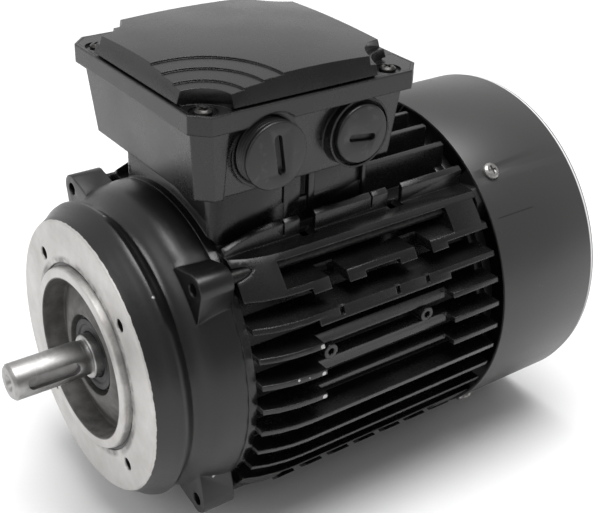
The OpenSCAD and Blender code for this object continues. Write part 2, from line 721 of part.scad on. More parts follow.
module terminal_box_gasket() {
    z0 = box_rim_z + fit;
    color([0.04, 0.04, 0.04])
    difference() {
        foot_block(1.7, z0, lid_z0 - fit);
        difference() {
            foot_block(7.5, box_rim_z - 1, lid_z0 + 1);
            pocket_places() translate([0, 0, box_rim_z - 2]) cylinder(r = 20.9, h = 6);
        }
        pocket_places() translate([0, 0, box_rim_z - 1]) cylinder(r = 17.3, h = 4);
    }
}

// The crowned top of the lid, lowered by a step.
module crown_ball(down) {
    crown_r = 440;
    translate([lid_mid[0], lid_mid[1], lid_top - down - crown_r]) sphere(r = crown_r, $fn = 360);
}

// Lid with four corner ears that drop into the rim of the box.
module terminal_box_lid() {
    step = 0.6;
    corner_step = 2.8;
    tall = 14;
    color([0.1, 0.1, 0.11])
    difference() {
        union() {
            intersection() {
                hull() {
                    slice(lid_mid, lid_x, lid_y, chamfer, lid_z0);
                    slice(lid_mid, lid_x - 4, lid_y - 3.6, chamfer - 2.4, lid_top + 1.6);
                }
                crown_ball(0);
            }
            intersection() {
                rim_block(1.2, ear_bottom_z, ear_top_z);
                pocket_places() translate([0, 0, 100]) cylinder(r = 17, h = 8);
            }
            intersection() {
                foot_block(1.7, ear_top_z - cut, lid_z0 + cut);
                pocket_places() translate([0, 0, 100]) cylinder(r = 17, h = 8);
            }
        }
        // hollow underside
        difference() {
            hull() {
                slice(lid_mid, lid_x - 4.4, lid_y - 4.4, chamfer, lid_z0 - 0.1);
                slice(lid_mid, lid_x - 6.4, lid_y - 6.4, chamfer - 2, 109);
            }
            pocket_places() translate([0, 0, 100]) cylinder(r = 18.6, h = 12);
        }
        // pockets over the ears, with shallow seats for the screw heads
        pocket_places() translate([0, 0, ear_top_z]) cylinder(r = pocket_r, h = tall);
        lid_screw_places() translate([0, 0, screw_seat_z]) cylinder(r = 4.8, h = 3);
        lid_screw_places() translate([0, 0, ear_bottom_z - 1]) cylinder(r = 1.9, h = 6);
        // curved steps that go down towards one corner, and one round each of the others
        for (i = [0:2]) difference() {
            translate([lid_mid[0] + pocket_x, lid_mid[1] - pocket_dy, ear_top_z])
                cylinder(r = steps_r[i], h = tall);
            crown_ball((i + 1) * step);
        }
        difference() {
            for (c = [[-1, -1], [-1, 1], [1, 1]])
                translate([lid_mid[0] + c[0] * pocket_x, lid_mid[1] + c[1] * pocket_dy, ear_top_z])
                    cylinder(r = corner_step_r, h = tall);
            crown_ball(corner_step);
        }
    }
}

module lid_screws() {
    color([0.3, 0.3, 0.3])
    lid_screw_places() translate([0, 0, screw_seat_z + fit]) cross_screw(1.6, 3, 1.8, 7);
}

// Body of a blanking plug with a slot across its face; the rings stand for the thread.
// The local Z axis points out of the box and zero is the outer face.
module blanking_plug(entry, face_x, thread_r, slot, slot_angle, offset) {
    thread_l = face_x - 34;
    translate([face_x, entry[0], entry[1]]) rotate([0, 90, 0]) difference() {
        union() {
            translate([0, 0, -thread_l]) cylinder(r = thread_r - 0.9, h = thread_l - 0.2);
            for (i = [0:floor(thread_l / 1.5) - 2]) translate([0, 0, -2.6 - i * 1.5]) {
                cylinder(r1 = thread_r - 0.9, r2 = thread_r, h = 0.5);
                translate([0, 0, 0.5]) cylinder(r1 = thread_r, r2 = thread_r - 0.9, h = 0.5);
            }
            children();
        }
        rotate([0, 0, slot_angle]) translate([0, offset, -2.2]) union() {
            translate([-slot[0] / 2, -slot[1] / 2, 0]) cube([slot[0], slot[1], 3]);
            for (s = [-1, 1]) translate([s * slot[0] / 2, 0, 0]) cylinder(r = slot[1] / 2, h = 3);
        }
    }
}

// The large plug has no head.
module front_blanking_plug() {
    r = front_entry[2];
    color([0.07, 0.07, 0.07])
    blanking_plug(front_entry, front_entry[4] + plug_out, r - 0.1, [11.6, 3], 8, 1.2) {
        translate([0, 0, -1.3]) cylinder(r = r - 0.1, h = 0.9);
        translate([0, 0, -0.4]) cylinder(r1 = r - 0.1, r2 = r - 0.5, h = 0.4);
    }
}

// The smaller plug has a flat head.
module rear_blanking_plug() {
    head_r = 10.8;
    color([0.07, 0.07, 0.07])
    blanking_plug(rear_entry, rear_entry[4] + 1.6, rear_entry[2] - 0.1, [9, 2.5], 81.7, -1.2) {
        translate([0, 0, -2.5]) cylinder(r = head_r, h = 2);
        translate([0, 0, -0.5]) cylinder(r1 = head_r, r2 = head_r - 0.5, h = 0.5);
    }
}

module rear_plug_washer() {
    color([0.03, 0.03, 0.03])
    difference() {
        entry_disc(rear_entry, 11.6, rear_entry[4] - 1.58, rear_entry[4] - 0.92);
        entry_disc(rear_entry, rear_entry[2] - 0.05, 40, 46);
    }
}

// ---- inside the terminal box -------------------------------------------------

stud_x = [-12, 0, 12];
stud_y = [63, 79];
board_z = neck_z + 12;
board_t = 4;
stud_r = 2;
lead_r = 1.5;
lead_y = (lead_hole_y[0] + lead_hole_y[1]) / 2;

module stud_places() { for (x = stud_x, y = stud_y) translate([x, y, board_z]) children(); }

module terminal_board() {
    color([0.35, 0.16, 0.08])
    difference() {
        union() {
            block([-21, 21], [54, 88], [board_z, board_z + board_t]);
            for (x = [-18, 18])
                translate([x, 71, box_floor_z]) cylinder(r = 3, h = board_z - box_floor_z + 1);
            // ribs between the phases
            for (x = [-6, 6])
                block([x - 0.8, x + 0.8], [56, 86], [board_z + board_t - 1, board_z + board_t + 3]);
        }
        stud_places() translate([0, 0, -1]) cylinder(r = stud_r + fit, h = 8);
    }
}

module terminal_studs() {
    color([0.8, 0.65, 0.3])
    stud_places() translate([0, 0, -1]) cylinder(r = stud_r, h = 15, $fn = 32);
}

module terminal_nuts() {
    color([0.82, 0.67, 0.32])
    stud_places() for (z = [board_t + 0.1, board_t + 4.6]) translate([0, 0, z]) difference() {
        cylinder(r = 7 / sqrt(3), h = 3.2, $fn = 6);
        translate([0, 0, -1]) cylinder(r = stud_r + fit, h = 6);
    }
}

// Three straight links between the rows of studs.
module link_bars() {
    z = board_z + board_t + 3.4;
    color([0.8, 0.63, 0.28])
    for (x = stud_x) difference() {
        union() {
            block([x - 3.5, x + 3.5], stud_y, [z, z + 1.1]);
            for (y = stud_y) translate([x, y, z]) cylinder(r = 3.5, h = 1.1);
        }
        for (y = stud_y) translate([x, y, z - 1]) cylinder(r = stud_r + 0.05, h = 3);
    }
}

// Earth screw with its washer, in the floor of the box.
module earth_screw() {
    color([0.8, 0.65, 0.3])
    translate([earth_x, earth_y, box_floor_z]) union() {
        cylinder(r = 4.4, h = 1);
        translate([0, 0, 1]) cross_screw(1.6, 3.6, 2.4, 3.8);
    }
}

// Straight piece of round wire between two points.
module wire(a, b, r) {
    d = b - a;
    translate(a) rotate([0, acos(d[2] / norm(d)), atan2(d[1], d[0])]) cylinder(r = r, h = norm(d), $fn = 24);
}

// Six leads that rise from the front of the winding to the undersides of the studs.
// Those for the rear row of studs first run level under the board.
module winding_leads() {
    end_z = board_z - 1 - lead_r - 0.1;
    color([0.6, 0.1, 0.08])
    for (i = [0:2], row = [0, 1]) {
        x = -10 + i * 8 + row * 4;
        bend = [x, lead_y, box_floor_z + (row == 0 ? 5.2 : 1.8)];
        turn = row == 0 ? bend : [stud_x[i], 72, box_floor_z + 2.4];
        union() {
            wire([x, lead_y, 46], bend, lead_r);
            translate(bend) sphere(r = lead_r + 0.15, $fn = 32);
            if (row == 1) {
                wire(bend, turn, lead_r);
                translate(turn) sphere(r = lead_r + 0.15, $fn = 32);
            }
            wire(turn, [stud_x[i], stud_y[row], end_z], lead_r);
        }
    }
}

module lead_grommet() {
    color([0.05, 0.05, 0.05])
    difference() {
        block([-13 + fit, 13 - fit], [lead_hole_y[0] + fit, lead_hole_y[1] - fit],
              [neck_z - 1.5, box_floor_z]);
        for (i = [0:5]) translate([-10 + i * 4, lead_y, neck_z - 3]) cylinder(r = lead_r + 0.05, h = 10);
    }
}

drive_end_shield();
stator_frame();
rear_end_shield();
fan_cowl();
cowl_screws();
tie_bolts();
shaft_seal();
rear_seal();
preload_washer();
front_bearing_outer_race();
front_bearing_inner_race();
front_bearing_balls();
front_bearing_cage();
rear_bearing_outer_race();
rear_bearing_inner_race();
rear_bearing_balls();
rear_bearing_cage();
rotor_shaft();
rotor_core();
rotor_cage();
fan_key();
cooling_fan();
fan_circlip();
stator_core();
stator_windings();
terminal_box_base();
box_base_screws();
terminal_box_gasket();
terminal_box_lid();
lid_screws();
front_blanking_plug();
rear_blanking_plug();
rear_plug_washer();
terminal_board();
terminal_studs();
terminal_nuts();
link_bars();
earth_screw();
winding_leads();
lead_grommet();
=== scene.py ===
import math
import bpy
from mathutils import Matrix, Vector


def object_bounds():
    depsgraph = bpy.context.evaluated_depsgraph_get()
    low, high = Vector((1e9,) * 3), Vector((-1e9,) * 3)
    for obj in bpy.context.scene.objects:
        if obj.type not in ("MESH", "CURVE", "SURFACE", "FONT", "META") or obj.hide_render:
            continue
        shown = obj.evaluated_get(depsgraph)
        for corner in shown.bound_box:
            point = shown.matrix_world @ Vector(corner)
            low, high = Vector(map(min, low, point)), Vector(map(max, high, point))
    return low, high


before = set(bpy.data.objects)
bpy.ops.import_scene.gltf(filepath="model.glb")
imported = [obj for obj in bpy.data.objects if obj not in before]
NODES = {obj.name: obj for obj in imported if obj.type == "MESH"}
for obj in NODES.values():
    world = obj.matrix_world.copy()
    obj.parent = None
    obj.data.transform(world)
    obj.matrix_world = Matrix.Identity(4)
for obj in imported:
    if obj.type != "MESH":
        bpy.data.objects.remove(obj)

cad_box = [list(map(float, corner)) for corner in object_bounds()]

MM = 0.001

# camera: place in metres, angles in degrees, lens and sensor in mm
CAMERA_PLACE = (0.32409, -0.14364, 0.24114)
CAMERA_AZIMUTH = 53.33
CAMERA_ELEVATION = 29.46
CAMERA_ROLL = 1.96
CAMERA_LENS = 67.93
CAMERA_SENSOR = 36
CAMERA_CLIP_START = 0.01

# background: from and to of the direction's Z or X part, and the strength at either end
WORLD_BY_HEIGHT = (0.0, 1.0, 1.0, 0.6)
WORLD_BY_SIDE = (-0.7, 0.8, 1.0, 0.38)

# lamps: place, target and size in metres, power in watts
OVERHEAD_LAMP = ((0.08, 0.12, 1.3), (0.0, 0.08, 0.0), 0.9, 21)
LEFT_LAMP = ((-0.1, -1.0, 0.75), (0.0, 0.05, 0.0), 0.7, 3)

# floor: half its width and its gap under the object, in metres
FLOOR_HALF = 3.0
FLOOR_GAP = 0.0006

# mesh finish: edges sharper than this many degrees are bevelled and stay sharp,
# faces flatter than the next are joined, and points closer than the last are welded
SHARP_ANGLE = 32
FLAT_ANGLE = 0.4
WELD_GAP = 0.002 * MM


# ---- node helpers ------------------------------------------------------------

CHIP_FADE = 0.25  # mm over which a chip's edge fades
COAT_ROUGHNESS = 0.2


class Graph:
    """Short names for building a material's nodes."""

    def __init__(self, material):
        self.tree = material.node_tree
        self.tree.nodes.clear()
        self.coords = self.add("ShaderNodeTexCoord").outputs["Object"]

    def add(self, kind, **values):
        node = self.tree.nodes.new(kind)
        for key, value in values.items():
            setattr(node, key, value)
        return node

    def put(self, socket, value):
        if isinstance(value, bpy.types.NodeSocket):
            self.tree.links.new(value, socket)
        elif value is not None:
            socket.default_value = value

    def math(self, operation, a, b=None):
        node = self.add("ShaderNodeMath", operation=operation)
        for i, value in enumerate((a, b)):
            self.put(node.inputs[i], value)
        return node.outputs[0]

    def noise(self, scale, detail=3.0, rough=0.5, vector=None, distortion=0.0):
        node = self.add("ShaderNodeTexNoise")
        self.put(node.inputs["Vector"], vector or self.coords)
        self.put(node.inputs["Scale"], scale)
        self.put(node.inputs["Detail"], detail)
        self.put(node.inputs["Roughness"], rough)
        self.put(node.inputs["Distortion"], distortion)
        return node.outputs[0]

    def remap(self, value, low, high, at_low, at_high):
        """The value between low and high turned into at_low to at_high, clamped."""
        node = self.add("ShaderNodeMapRange")
        for i, v in enumerate((value, low, high, at_low, at_high)):
            self.put(node.inputs[i], v)
        return node.outputs[0]

    def mix(self, factor, a, b):
        node = self.add("ShaderNodeMix", data_type="RGBA")
        self.put(node.inputs["Factor"], factor)
        self.put(node.inputs[6], a)
        self.put(node.inputs[7], b)
        return node.outputs[2]

    def blend(self, factor, a, b):
        node = self.add("ShaderNodeMix", data_type="FLOAT")
        self.put(node.inputs["Factor"], factor)
        self.put(node.inputs[2], a)
        self.put(node.inputs[3], b)
        return node.outputs[0]

    def split(self):
        node = self.add("ShaderNodeSeparateXYZ")
        self.put(node.inputs[0], self.coords)
        return node.outputs

    def radius_about_y(self):
        x, _, z = self.split()
        square = self.math("ADD", self.math("MULTIPLY", x, x), self.math("MULTIPLY", z, z))
        return self.math("SQRT", square)

    def between(self, value, low, high, soft):
        """1 from low to high and 0 outside, with soft ends."""
        up = self.remap(value, low - soft, low + soft, 0.0, 1.0)
        down = self.remap(value, high - soft, high + soft, 1.0, 0.0)
        return self.math("MULTIPLY", up, down)

    def near(self, points, wobble):
        """1 close to any of the points (x, y, z, radius in mm), with a ragged edge."""
        ragged = self.add("ShaderNodeVectorMath", operation="MULTIPLY_ADD")
        noise = self.add("ShaderNodeTexNoise")
        self.put(noise.inputs["Vector"], self.coords)
        self.put(noise.inputs["Scale"], 1400.0)
        self.put(noise.inputs["Detail"], 4.0)
        self.put(ragged.inputs[0], noise.outputs["Color"])
        self.put(ragged.inputs[1], (wobble * MM,) * 3)
        self.put(ragged.inputs[2], self.coords)
        total = None
        for x, y, z, r in points:
            gap = self.add("ShaderNodeVectorMath", operation="DISTANCE")
            self.put(gap.inputs[0], ragged.outputs[0])
            self.put(gap.inputs[1], tuple((v + wobble / 2) * MM for v in (x, y, z)))
            hit = self.remap(gap.outputs["Value"], r * MM, (r + CHIP_FADE) * MM, 1.0, 0.0)
            total = hit if total is None else self.math("MAXIMUM", total, hit)
        return total

    def bump(self, height, strength, distance, normal=None):
        node = self.add("ShaderNodeBump")
        self.put(node.inputs["Strength"], strength)
        self.put(node.inputs["Distance"], distance)
        self.put(node.inputs["Height"], height)
        self.put(node.inputs["Normal"], normal)
        return node.outputs[0]

    def rounded(self, radius):
        """The normal as if all edges had this radius."""
        node = self.add("ShaderNodeBevel", samples=4)
        self.put(node.inputs["Radius"], radius)
        return node.outputs[0]

    def edge(self, radius, low, high):
        """1 along convex and concave edges, 0 on faces."""
        bent = self.rounded(radius)
        flat = self.add("ShaderNodeNewGeometry").outputs["Normal"]
        dot = self.add("ShaderNodeVectorMath", operation="DOT_PRODUCT")
        self.put(dot.inputs[0], bent)
        self.put(dot.inputs[1], flat)
        return self.remap(dot.outputs["Value"], high, low, 0.0, 1.0)

    def finish(self, color, rough, metallic=0.0, normal=None, specular=0.5, coat=0.0, anisotropic=0.0):
        shader = self.add("ShaderNodeBsdfPrincipled")
        self.put(shader.inputs["Base Color"], color)
        self.put(shader.inputs["Roughness"], rough)
        self.put(shader.inputs["Metallic"], metallic)
        self.put(shader.inputs["Normal"], normal)
        self.put(shader.inputs["Specular IOR Level"], specular)
        self.put(shader.inputs["Coat Weight"], coat)
        self.put(shader.inputs["Coat Roughness"], COAT_ROUGHNESS)
        self.put(shader.inputs["Anisotropic"], anisotropic)
        out = self.add("ShaderNodeOutputMaterial")
        self.tree.links.new(shader.outputs[0], out.inputs["Surface"])


def grey(v, warm=0.0):
    """A grey of value v; warm tints it towards red."""
    return (v * (1 + warm), v, v * (1 - warm), 1.0)


def new_material(name):
    material = bpy.data.materials.new(name)
    material.use_nodes = True
    return material, Graph(material)


# ---- paints ------------------------------------------------------------------

BARE_METAL = grey(0.42, 0.02)
BARE_ROUGHNESS = 0.34
CHIP_WOBBLE = 0.9         # mm by which the outline of a chip wanders
PAINT_DEPTH = 0.12 * MM   # height of the casting's grain under the paint
EDGE_SEARCH = 0.5 * MM    # how near an edge the paint wears
EDGE_BEND = (0.86, 0.97)  # a full edge and no edge, as the dot product of two normals


def cast_paint(name, dark, rough, grain, edge_radius, wear, chips=()):
    """Satin black paint over a die casting, with worn edges and small chips."""
    material, g = new_material(name)
    blotch = g.noise(45.0, 3.0)
    fine = g.noise(900.0, 4.0, 0.6)
    cast = g.noise(260.0, 3.0, 0.55)
    color = g.mix(g.remap(blotch, 0.35, 0.7, 0.0, 1.0), grey(dark * 0.75), grey(dark * 1.25, 0.02))
    roughness = g.math("ADD", g.remap(blotch, 0.3, 0.7, rough - 0.05, rough + 0.05),
                       g.remap(fine, 0.3, 0.7, -0.03, 0.03))
    edges = g.edge(EDGE_SEARCH, *EDGE_BEND)
    patch = g.remap(g.noise(160.0, 4.0, 0.7), 0.52, 0.66, 0.0, 1.0)
    worn = g.math("MULTIPLY", g.math("MULTIPLY", edges, patch), wear)
    color = g.mix(worn, color, grey(0.13, 0.02))
    bare = 0.0
    if chips:
        bare = g.near(chips, CHIP_WOBBLE)
        color = g.mix(bare, color, BARE_METAL)
        roughness = g.blend(bare, roughness, BARE_ROUGHNESS)
    height = g.math("ADD", g.math("MULTIPLY", cast, 0.7), g.math("MULTIPLY", fine, 0.3))
    if chips:
        height = g.math("SUBTRACT", height, g.math("MULTIPLY", bare, 0.8))
    normal = g.bump(height, 0.28 * grain, PAINT_DEPTH, g.rounded(edge_radius * MM))
    g.finish(color, roughness, bare, normal)
    return material


# drive-end shield: chips (x, y, z, radius in mm), then radii and depths in metres
SHIELD_CHIPS = [
    (47.5, 22.5, -37.0, 0.8), (41.0, 15.0, -41.5, 0.5), (48.5, 25.5, -34.5, 0.5),
    (42.0, 21.0, -43.5, 0.45), (39.0, 19.0, -46.0, 0.4), (-33.0, 10.0, 45.5, 0.5),
    (2.0, 10.5, 56.6, 0.5), (38.0, 9.0, 42.5, 0.4),
]
FACE_END = (0.55 * MM, 0.7 * MM)       # where the machined face gives way to paint
FACE_WANDER = 0.12 * MM                # by how much that line wanders
RECESS_RADIUS = (31.2 * MM, 31.5 * MM)
RECESS_DEPTH = (8.5 * MM, 9.0 * MM)
# where the relief groove outside the spigot is coloured near black as painted shade
GROOVE_SHADE_RADII = (35.15 * MM, 36.5 * MM)
GROOVE_SHADE_DEPTH = (0.1 * MM, 0.5 * MM)
SOILED_RADII = (35.0 * MM, 38.6 * MM)
FACE_RING_PITCH = 0.55 * MM


def shield_paint():
    """Black paint with a machined flange face, spigot and raw cast recess, and painted shade in the
    relief groove.
    """
    material, g = new_material("drive_shield_paint")
    radius = g.radius_about_y()
    _, y, _ = g.split()
    blotch = g.noise(40.0, 3.0)
    fine = g.noise(900.0, 4.0, 0.6)
    cast = g.noise(230.0, 4.0, 0.6)
    chips = g.near(SHIELD_CHIPS, CHIP_WOBBLE)
    paint = g.mix(blotch, grey(0.0038), grey(0.0056, 0.02))
    # machined: the flange face and the spigot; cast: the recess inside it
    wander = g.remap(g.noise(420.0, 3.0), 0.3, 0.7, -FACE_WANDER, FACE_WANDER)
    face = g.remap(g.math("ADD", y, wander), *FACE_END, 1.0, 0.0)
    inside = g.remap(radius, *RECESS_RADIUS, 1.0, 0.0)
    recess = g.math("MULTIPLY", inside, g.remap(y, *RECESS_DEPTH, 1.0, 0.0))
    machined = g.math("MULTIPLY", face, g.math("SUBTRACT", 1.0, inside))
    # painted shade: the relief groove is darkened where shadow falls in it
    groove_shade = g.between(radius, *GROOVE_SHADE_RADII, 0.1 * MM)
    groove_shade = g.math("MULTIPLY", groove_shade, g.remap(y, *GROOVE_SHADE_DEPTH, 0.0, 1.0))
    stain = g.remap(g.noise(60.0, 5.0, 0.65), 0.35, 0.7, 0.0, 1.0)
    steel = g.mix(stain, grey(0.43, 0.03), grey(0.53, 0.02))
    soil = g.math("MULTIPLY", g.between(radius, *SOILED_RADII, 0.6 * MM),
                  g.remap(g.noise(110.0, 4.0, 0.6), 0.42, 0.6, 0.0, 0.8))
    steel = g.mix(soil, steel, grey(0.13, 0.05))
    rough_cast = g.mix(g.remap(cast, 0.3, 0.7, 0.0, 1.0), grey(0.085, 0.03), grey(0.17, 0.03))
    rough_cast = g.mix(g.remap(g.noise(75.0, 4.0), 0.4, 0.65, 0.0, 0.6), rough_cast, grey(0.05, 0.08))
    color = g.mix(chips, paint, BARE_METAL)
    color = g.mix(recess, color, rough_cast)
    color = g.mix(machined, color, steel)
    # painted shade in the relief groove
    color = g.mix(groove_shade, color, grey(0.02, 0.05))
    bare = g.math("MAXIMUM", g.math("MULTIPLY", machined, 0.75), g.math("MULTIPLY", recess, 0.35))
    bare = g.math("MULTIPLY", g.math("MAXIMUM", bare, chips), g.math("SUBTRACT", 1.0, groove_shade))
    roughness = g.remap(fine, 0.3, 0.7, 0.30, 0.38)
    roughness = g.blend(recess, roughness, 0.62)
    roughness = g.blend(machined, roughness, g.remap(stain, 0.0, 1.0, 0.5, 0.42))
    rings = g.math("SINE", g.math("MULTIPLY", radius, 2 * math.pi / FACE_RING_PITCH))
    rings = g.math("MULTIPLY", rings, g.remap(g.noise(140.0, 2.0), 0.3, 0.7, 0.4, 1.0))
    height = g.math("ADD", g.math("MULTIPLY", cast, 0.7), g.math("MULTIPLY", fine, 0.3))
    height = g.blend(machined, height, g.math("MULTIPLY", rings, 0.12))
    height = g.blend(recess, height, g.math("MULTIPLY", g.noise(700.0, 5.0, 0.7), 2.2))
    normal = g.bump(height, 0.3, PAINT_DEPTH, g.rounded(0.8 * MM))
    g.finish(color, roughness, bare, normal)
    return material


# cowl: chips (x, y, z, radius in mm), the seam, and the painted highlight and painted shade lines at
# the rear bend in metres
COWL_CHIPS = [(66.2, 201.3, 14.0, 0.4), (60.0, 201.4, -28.0, 0.5), (64.9, 200.6, 27.0, 0.35)]
COWL_CHIP_WOBBLE = 0.8
SEAM_ANGLE = math.radians(35.6)        # above the +X side
SEAM_HALF_WIDTH = (0.12 * MM, 0.3 * MM)
SEAM_RUN = (151 * MM, 170 * MM)
# the painted highlight band and the painted shade band along the rear bend
BEND_HIGHLIGHT_BAND = (197.2 * MM, 198.3 * MM)
BEND_SHADE_BAND = (198.6 * MM, 199.6 * MM)
BEND_HEIGHT = (-25 * MM, 15 * MM)      # the two lines fade out downwards


def sheet_paint():
    """Dark grey satin paint on the pressed cowl, with a seam, scuffs, chips, and a painted highlight
    line beside a painted shade line at the rear bend.
    """
    material, g = new_material("cowl_paint")
    blotch = g.noise(22.0, 3.0)
    peel = g.noise(650.0, 2.0, 0.45)
    fine = g.noise(1800.0, 2.0)
    scuff = g.noise(90.0, 6.0, 0.75, distortion=1.5)
    color = g.mix(blotch, grey(0.024), grey(0.031, 0.01))
    marks = g.remap(scuff, 0.66, 0.7, 0.0, 0.25)
    color = g.mix(marks, color, grey(0.09, 0.02))
    chips = g.near(COWL_CHIPS, COWL_CHIP_WOBBLE)
    color = g.mix(chips, color, BARE_METAL)
    # the seam of the rolled sheet, on the +X side only
    x, y, z = g.split()
    off_seam = g.math("SUBTRACT", g.math("MULTIPLY", x, math.sin(SEAM_ANGLE)),
                      g.math("MULTIPLY", z, math.cos(SEAM_ANGLE)))
    seam = g.remap(g.math("ABSOLUTE", off_seam), *SEAM_HALF_WIDTH, 1.0, 0.0)
    seam = g.math("MULTIPLY", seam, g.math("GREATER_THAN", x, 0.0))
    seam = g.math("MULTIPLY", seam, g.between(y, *SEAM_RUN, 0.5 * MM))
    color = g.mix(seam, color, grey(0.006))
    # a painted highlight line beside a painted shade line stands in for the light on the tight bend at
    # the rear edge
    upper = g.remap(z, *BEND_HEIGHT, 0.0, 1.0)
    for run, tone in ((BEND_HIGHLIGHT_BAND, 0.75), (BEND_SHADE_BAND, 0.004)):
        line = g.math("MULTIPLY", g.between(y, *run, 0.2 * MM), upper)
        color = g.mix(line, color, grey(tone))
    roughness = g.math("ADD", g.remap(blotch, 0.3, 0.7, 0.34, 0.40),
                       g.remap(fine, 0.3, 0.7, -0.03, 0.03))
    height = g.math("ADD", peel, g.math("MULTIPLY", fine, 0.3))
    height = g.math("SUBTRACT", height, g.math("MULTIPLY", seam, 3.0))
    normal = g.bump(height, 0.12, 0.06 * MM, g.rounded(0.4 * MM))
    g.finish(color, roughness, chips, normal, 0.6)
    return material


# ---- metals ------------------------------------------------------------------

def turned_steel(name, tone, rough, pitch, stain):
    """Turned or ground steel whose tool marks, pitch mm apart, run round the Y axis."""
    material, g = new_material(name)
    _, y, _ = g.split()
    band = g.add("ShaderNodeMapping")
    g.put(band.inputs["Vector"], g.coords)
    g.put(band.inputs["Scale"], (12.0, 900.0, 12.0))
    lines = g.noise(1.0, 6.0, 0.7, band.outputs[0])
    smear = g.remap(g.noise(130.0, 5.0, 0.7, distortion=0.6), 0.4, 0.7, 0.0, stain)
    clean = g.mix(lines, grey(tone * 0.85, 0.01), grey(tone * 1.12, 0.01))
    color = g.mix(smear, clean, grey(tone * 0.45, 0.05))
    roughness = g.math("ADD", g.remap(lines, 0.3, 0.7, rough - 0.08, rough + 0.08),
                       g.math("MULTIPLY", smear, 0.25))
    marks = g.math("SINE", g.math("MULTIPLY", y, 2 * math.pi / (pitch * MM)))
    height = g.math("ADD", lines, g.math("MULTIPLY", marks, 0.12))
    normal = g.bump(height, 0.18, 0.03 * MM, g.rounded(0.25 * MM))
    g.finish(color, roughness, 1.0, normal, anisotropic=0.4)
    return material


def plated(name, color_a, color_b, rough, bevel, grime):
    """Plated or bright fastener metal with patches of grime."""
    material, g = new_material(name)
    cloud = g.noise(420.0, 4.0, 0.6)
    dirt = g.remap(g.noise(900.0, 5.0, 0.7), 0.45, 0.7, 0.0, grime)
    color = g.mix(dirt, g.mix(cloud, color_a, color_b), grey(0.06, 0.1))
    normal = g.bump(g.noise(2500.0, 3.0), 0.15, 0.03 * MM, g.rounded(bevel * MM))
    roughness = g.remap(cloud, 0.3, 0.7, rough - 0.06, rough + 0.08)
    g.finish(color, roughness, g.math("SUBTRACT", 1.0, dirt), normal)
    return material


SHEET_PITCH = 0.5 * MM  # thickness of one lamination


def laminated(name, tone):
    """Stacked sheet steel: fine lines across the Y axis."""
    material, g = new_material(name)
    _, y, _ = g.split()
    lines = g.math("SINE", g.math("MULTIPLY", y, 2 * math.pi / SHEET_PITCH))
    heat = g.noise(60.0, 3.0)
    color = g.mix(heat, (tone * 0.8, tone * 0.85, tone, 1), (tone, tone * 0.9, tone * 0.8, 1))
    normal = g.bump(lines, 0.35, 0.05 * MM)
    g.finish(color, g.remap(heat, 0.3, 0.7, 0.4, 0.55), 0.9, normal)
    return material


# ---- plastics and rubber -----------------------------------------------------

def moulded(name, color_a, color_b, rough, grain, bevel, specular=0.45):
    """Moulded plastic or rubber with a fine eroded grain and rubbed dust."""
    material, g = new_material(name)
    grainy = g.noise(1500.0, 3.0, 0.6)
    cloud = g.noise(110.0, 3.0)
    dust = g.remap(g.noise(260.0, 5.0, 0.7), 0.55, 0.75, 0.0, 0.12)
    color = g.mix(dust, g.mix(cloud, color_a, color_b), grey(0.25, 0.05))
    normal = g.bump(grainy, grain, 0.05 * MM, g.rounded(bevel * MM))
    g.finish(color, g.remap(cloud, 0.3, 0.7, rough - 0.04, rough + 0.06), 0.0, normal, specular)
    return material


WIRE_PITCH = 0.7 * MM
WIRE_WANDER = 3 * MM


def copper_wire():
    """Varnished enamelled wire, wound in strands round the coil heads, with painted shade between the
    wires and painted highlight on their crests.
    """
    material, g = new_material("enamelled_copper")
    radius = g.radius_about_y()
    _, y, _ = g.split()
    wander = g.noise(120.0, 3.0)
    across = g.math("ADD", g.math("ADD", radius, y), g.math("MULTIPLY", wander, WIRE_WANDER))
    strand_height_and_shade = g.math("SINE", g.math("MULTIPLY", across, 2 * math.pi / WIRE_PITCH))
    # the colour follows each strand's height: painted shade in the creases between wires, painted
    # highlight on their crests
    color = g.mix(g.remap(strand_height_and_shade, -1.0, 1.0, 0.0, 1.0), (0.30, 0.09, 0.025, 1), (0.62, 0.24, 0.07, 1))
    g.finish(color, 0.32, 0.7, g.bump(strand_height_and_shade, 0.6, 0.15 * MM), coat=0.5)
    return material


# chips on the frame, mostly at the front ends of the thick side fins (x, y, z, radius in mm)
FRAME_CHIPS = [
    (65.6, 60.2, 19.3, 0.8), (67.5, 59.6, 9.4, 0.75), (68.2, 60.0, -0.4, 0.95),
    (67.4, 49.2, 10.3, 0.4), (67.2, 53.5, 9.8, 0.35), (66.4, 52.0, 19.0, 0.3),
    (68.2, 96.0, -0.8, 0.35), (66.9, 128.0, 9.6, 0.4), (60.0, 51.9, 40.4, 0.5),
    (56.5, 51.9, 41.6, 0.35), (64.0, 36.6, -19.3, 0.5), (62.7, 37.0, -29.4, 0.4),
    (49.4, 62.0, 38.6, 0.3), (66.2, 88.0, 19.0, 0.3), (52.0, 141.0, 43.0, 0.5),
]

